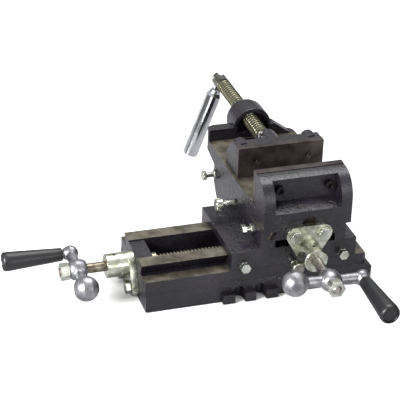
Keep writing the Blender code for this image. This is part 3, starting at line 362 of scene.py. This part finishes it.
def threaded(name, radius, depth, start, end, centre, axis, body, slot, pitch=FEED_PITCH, steps=32):
    """A rolled trapezoid thread from start to end, closed at both ends. Its crests are marked, and the mark
    sets the painted shade in the thread roots.
    """
    bm = bmesh.new()
    crest_layer = bm.verts.layers.float.new("crest")
    count = int((end - start) / pitch * 10)
    rings = []
    for i in range(count + 1):
        along = start + (end - start) * i / count
        ring = []
        for k in range(steps):
            phase = (along / pitch - k / steps) % 1.0
            root = min(max((abs(phase - 0.5) - 0.12) / 0.12, 0.0), 1.0)
            if i in (0, count):
                root = 1.0
            reach = (radius - depth * root) * MM
            vertex = bm.verts.new((reach * cos(2 * pi * k / steps), reach * sin(2 * pi * k / steps),
                                   along * MM))
            vertex[crest_layer] = 1.0 - root
            ring.append(vertex)
        rings.append(ring)
    for low_ring, high_ring in zip(rings, rings[1:]):
        for k in range(steps):
            bm.faces.new((low_ring[k], low_ring[(k + 1) % steps], high_ring[(k + 1) % steps], high_ring[k]))
    bm.faces.new(rings[0])
    bm.faces.new(rings[-1])
    bmesh.ops.recalc_face_normals(bm, faces=bm.faces)
    made = piece(name, bm, YELLOW_ZINC, body, slot=slot)
    made.matrix_world = Matrix.Translation(centre) @ Vector(axis).to_track_quat("Z",
            "Y").to_matrix().to_4x4()
    return made


def slice_of(name, spot, normal):
    """The part of a CAD node on the normal's side of a plane, closed over the cut."""
    bm = bmesh.new()
    bm.from_mesh(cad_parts[name].data)
    bmesh.ops.remove_doubles(bm, verts=bm.verts, dist=0.00001)
    bmesh.ops.bisect_plane(bm, geom=bm.verts[:] + bm.edges[:] + bm.faces[:], plane_co=spot, plane_no=normal,
                           clear_inner=True)
    bmesh.ops.holes_fill(bm, edges=[e for e in bm.edges if e.is_boundary])
    bmesh.ops.recalc_face_normals(bm, faces=bm.faces)
    return bm


# ---------------------------------------------------------------- castings

dress(BASE_FINISH, "base_casting", edge=0.9)
dress(SADDLE_FINISH, "saddle_casting", edge=0.9)
dress(BODY_FINISH, "vise_body", edge=1.1)
dress(JAW_FINISH, "movable_jaw", edge=1.1)
dress(JAW_STEEL, "fixed_jaw_plate", "movable_jaw_plate", edge=0.5)
dress(BLACK_OXIDE, "fixed_plate_screw_left", "fixed_plate_screw_right", edge=0.3)
dress(JAW_STEEL, "movable_plate_screw_left", "movable_plate_screw_right", edge=0.3)

# ---------------------------------------------------------------- screws, nuts and brackets

dress(BRACKET_ZINC, "x_screw_bracket", "y_screw_bracket", edge=0.9, segments=3)
dress(ZINC, "x_bracket_bolt_front", "x_bracket_bolt_rear", "y_bracket_bolt_left", "y_bracket_bolt_right",
      edge=0.5)
dress(ZINC, "x_gib_screw_left", "x_gib_screw_right", "y_gib_screw_front", "y_gib_screw_rear", edge=0.3)
dress(ZINC, "x_gib_screw_left_nut", "x_gib_screw_right_nut", "y_gib_screw_front_nut",
      "y_gib_screw_rear_nut",
      "x_crank_nut", "y_crank_nut", edge=0.4)
dress(ZINC, "handle_rivet_pin", "spindle_retaining_pin", "keeper_screw_front", "keeper_screw_rear",
      "x_nut_screw",
      "y_nut_screw_left", "y_nut_screw_right", "x_grip_pin", "y_grip_pin", edge=0.3)
dress(ZINC, "x_lock_screw", "y_lock_screw", edge=0.3)
dress(TURNED_STEEL, "x_feed_collar", "y_feed_collar", "x_gib_strip", "y_gib_strip", "jaw_keeper_plate",
      edge=0.3)
dress(BRONZE, "x_feed_nut", "y_feed_nut", edge=0.3)

# ---------------------------------------------------------------- feed screws and the jaw spindle

low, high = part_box("x_feed_screw")
x_axis = (0, 0, (low[2] + high[2]) / 2)
shank = slice_of("x_feed_screw", (X_SHANK_END * MM, 0, 0), (-1, 0, 0))
piece("x_feed_screw_shank", shank, TURNED_STEEL, "x_screw", "x_feed_screw", slot="steel")
threaded("x_feed_screw_thread", FEED_RADIUS, FEED_DEPTH, X_SHANK_END - 1.5, high[0] / MM - 0.4, x_axis,
         (1, 0, 0), "x_screw", "steel")

low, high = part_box("y_feed_screw")
y_axis = ((low[0] + high[0]) / 2, 0, (low[2] + high[2]) / 2)
shank = slice_of("y_feed_screw", (0, Y_SHANK_END * MM, 0), (0, -1, 0))
piece("y_feed_screw_shank", shank, BRIGHT_SHANK, "y_screw", "y_feed_screw", slot="steel")
threaded("y_feed_screw_thread", FEED_RADIUS, FEED_DEPTH, Y_SHANK_END - 1.5, high[1] / MM - 0.4, y_axis,
         (0, 1, 0), "y_screw", "steel")

low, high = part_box("jaw_spindle")
spindle_axis = ((low[0] + high[0]) / 2, 0, (low[2] + high[2]) / 2)
head = slice_of("jaw_spindle", (0, SPINDLE_HEAD * MM, 0), (0, 1, 0))
piece("jaw_spindle_head", head, SPINDLE_HEAD_FINISH, "spindle", "jaw_spindle", slot="thread")
threaded("jaw_spindle_thread", SPINDLE_RADIUS, SPINDLE_DEPTH, SPINDLE_START, SPINDLE_HEAD + 1, spindle_axis,
         (0, 1, 0), "spindle", "thread", SPINDLE_PITCH, 40)
dress(CHROME, "spindle_handle")

# ---------------------------------------------------------------- cranks and grips


def crank(prefix, body, grip_body, along, throw):
    """One cast crank: a counterweight ball with a flat, a swelling hub, a small end ball and its grip."""
    arm_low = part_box(prefix + "_crank_arm")[0]
    grip_low, grip_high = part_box(prefix + "_crank_grip")
    outward = -Vector(along)
    end = (Vector(grip_low) + Vector(grip_high)) / 2
    axis = 0 if along[0] else 1
    end[axis] = arm_low[axis] + BALL_FLAT * MM
    throw = Vector(throw).normalized()
    hub = end + throw * (CRANK_THROW * MM)
    big = end + throw * (CRANK_SPAN * MM)
    casting = lathe([(7.0, -9.5), (9.6, -8.6), (11.2, -5.5), (11.8, -1.5), (11.6, 2.5), (10.4, 6.8), (8.6,
            9.0),
                     (7.8, 9.5)], hub, outward, 36)
    for solid in (
            lathe([(6.0, 4), (6.0, 16), (5.6, 26), (6.1, 36), (7.2, 41), (5.5, 44)], end, throw, 28),
            lathe([(5.5, 30), (7.2, 34), (6.2, 39), (5.8, 48), (6.0, 60), (6.4, 66)], end, throw, 28),
            lathe([(0, -14), (5.4, -12.9), (9.9, -9.9), (12.9, -5.4), (14, 0), (13.4, 4.2), (11.7, 7.7),
                   (9.4, 10.4),
                   (7.6, 11.7), (6.9, 12.0), (0, 12.0)], big, outward, 36),
            lathe([(0, -9), (3.4, -8.3), (6.4, -6.4), (8.3, -3.4), (9, 0), (8.3, 3.4), (6.9, 5.8), (6.2,
            7.7),
                   (0, 7.7)], end, outward, 32)):
        mesh = bpy.data.meshes.new("solid")
        solid.to_mesh(mesh)
        solid.free()
        casting.from_mesh(mesh)
        bpy.data.meshes.remove(mesh)
    made = piece(prefix + "_crank_casting", casting, CAST_ALUMINIUM, body, prefix + "_crank_arm",
                 slot="aluminium",
                 smooth=60)
    skin = made.modifiers.new("one casting", "REMESH")
    skin.mode = "VOXEL"
    skin.voxel_size = 0.6 * MM
    skin.use_smooth_shade = True
    soften = made.modifiers.new("tumbled corners", "SMOOTH")
    soften.factor = 0.5
    soften.iterations = 5

    start, stop = GRIP_START, GRIP_STOP
    grip = lathe([(0, start), (6.1, start), (6.8, start + 0.4), (7.3, start + 1.4), (8.1, start + 15),
                  (10.2, stop - 15),
                  (10.8, stop - 6.5), (10.7, stop - 2.4), (10.1, stop - 0.9), (9.2, stop - 0.1), (8.5,
                  stop - 0.1),
                  (8.1, stop - 0.9), (7.8, stop - 2.0), (0, stop - 2.0)], end, outward, 48)
    piece(prefix + "_grip_moulding", grip, PLASTIC, grip_body, prefix + "_crank_grip", slot="plastic",
          smooth=40)
    return hub


crank("x", "x_screw", "x_grip", (1, 0, 0), (0, -1, 0))
crank("y", "y_screw", "y_grip", (0, 1, 0), (-cos(Y_CRANK_TILT), 0, sin(Y_CRANK_TILT)))


def knurled_head(name, screw, body, axis):
    """A straight-knurled ring round the screw's head, with chamfered ends."""
    box_low, box_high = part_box(screw)
    middle = [(a + b) / 2 for a, b in zip(box_low, box_high)]
    middle[axis] = box_low[axis]
    direction = [0, 0, 0]
    direction[axis] = 1
    head = bmesh.new()
    spin = Vector(direction).to_track_quat("Z", "Y").to_matrix()
    rings = []
    for reach, along in ((6.0, -0.1), (7.0, 0.7), (7.0, 5.6), (6.2, 6.2)):
        ring = []
        for k in range(72):
            ridge = (0.28 if k % 2 else -0.28) if 0 < along < 6 else 0
            distance = (reach + ridge) * MM
            spot = Vector((distance * cos(2 * pi * k / 72), distance * sin(2 * pi * k / 72), along * MM))
            ring.append(head.verts.new(Vector(middle) + spin @ spot))
        rings.append(ring)
    for low_ring, high_ring in zip(rings, rings[1:]):
        for k in range(72):
            head.faces.new((low_ring[k], low_ring[(k + 1) % 72], high_ring[(k + 1) % 72], high_ring[k]))
    head.faces.new(rings[0])
    head.faces.new(rings[-1])
    bmesh.ops.recalc_face_normals(head, faces=head.faces)
    piece(name, head, KNURLED, body, slot="zinc", smooth=20)


knurled_head("x_lock_knurl", "x_lock_screw", "saddle", 1)
knurled_head("y_lock_knurl", "y_lock_screw", "saddle", 0)


# ---------------------------------------------------------------- studio

def studio_card(name, centre, size, code, tilt, only_mirrored=False):
    """A plain board. One that is only mirrored gives glossy faces something dark to reflect."""
    bm = bmesh.new()
    bmesh.ops.create_grid(bm, x_segments=1, y_segments=1, size=0.5)
    bmesh.ops.scale(bm, vec=(size[0], size[1], 1), verts=bm.verts)
    bmesh.ops.transform(bm, matrix=Matrix.Translation(centre) @ tilt, verts=bm.verts)
    mesh = bpy.data.meshes.new(name)
    bm.to_mesh(mesh)
    bm.free()
    mesh.materials.append(matt(name + " paint", code, 0.9))
    made = bpy.data.objects.new(name, mesh)
    bpy.context.scene.collection.objects.link(made)
    if only_mirrored:
        made.visible_camera = False
        made.visible_diffuse = False
        made.visible_shadow = False
        made.visible_transmission = False


def soft_box(name, place, target, size, power):
    light = bpy.data.lights.new(name, "AREA")
    light.shape = "RECTANGLE"
    light.size, light.size_y = size
    light.energy = power
    made = bpy.data.objects.new(name, light)
    made.location = place
    made.rotation_euler = (Vector(target) - Vector(place)).to_track_quat("-Z", "Y").to_euler()
    bpy.context.scene.collection.objects.link(made)


LEVEL = Matrix.Identity(4)
UPRIGHT = Matrix.Rotation(radians(90), 4, "Y")
studio_card("floor", (0, 0, -0.0009), (14, 14), "#f6f6f6", LEVEL)
studio_card("grey_reflector", (0.05, 0, -0.0004), (1.3, 1.5), "#a8a8aa", LEVEL, True)
studio_card("right_flag", (0.72, -0.1, 0.25), (0.6, 1.4), "#0a0a0a", UPRIGHT, True)

world = bpy.data.worlds.new("studio")
bpy.context.scene.world = world
world.use_nodes = True
world.node_tree.nodes.clear()
way = node(world.node_tree, "ShaderNodeTexCoord")
height = node(world.node_tree, "ShaderNodeSeparateXYZ", {0: way.outputs["Generated"]})
rise = node(world.node_tree, "ShaderNodeMapRange", {"Value": height.outputs["Z"], "From Min": 0.05,
                                                    "From Max": 0.6,
                                                    "To Min": 0.2, "To Max": 0.8})
sky = node(world.node_tree, "ShaderNodeBackground", {"Color": (1, 1, 1, 1), "Strength": rise.outputs[0]})
node(world.node_tree, "ShaderNodeOutputWorld", {"Surface": sky.outputs[0]})

soft_box("key", (-1.4, -0.6, 0.85), (0, 0, 0.05), (0.7, 0.6), 58)
soft_box("top", (0.3, 0.5, 1.6), (0, 0, 0.05), (1.0, 1.0), 20)
soft_box("fill", (0.6, -1.6, 0.6), (0, 0, 0.05), (1.1, 0.7), 8)

AZIMUTH, ELEVATION, ROLL = radians(-18.13), radians(28.82), radians(1.77)
back = Vector((sin(AZIMUTH) * cos(ELEVATION), -cos(AZIMUTH) * cos(ELEVATION), sin(ELEVATION)))
right = Vector((cos(AZIMUTH), sin(AZIMUTH), 0))
upward = back.cross(right)
rolled_right = right * cos(ROLL) + upward * sin(ROLL)
rolled_up = upward * cos(ROLL) - right * sin(ROLL)
camera = bpy.data.objects.new("camera", bpy.data.cameras.new("camera"))
camera.data.sensor_width = 36
camera.data.lens = 133.2
turn = Matrix((rolled_right, rolled_up, back)).transposed().to_4x4()
camera.matrix_world = Matrix.Translation((-0.4752, -1.3235, 0.8646)) @ turn
bpy.context.scene.collection.objects.link(camera)
bpy.context.scene.camera = camera
bpy.context.scene.view_settings.view_transform = "Standard"
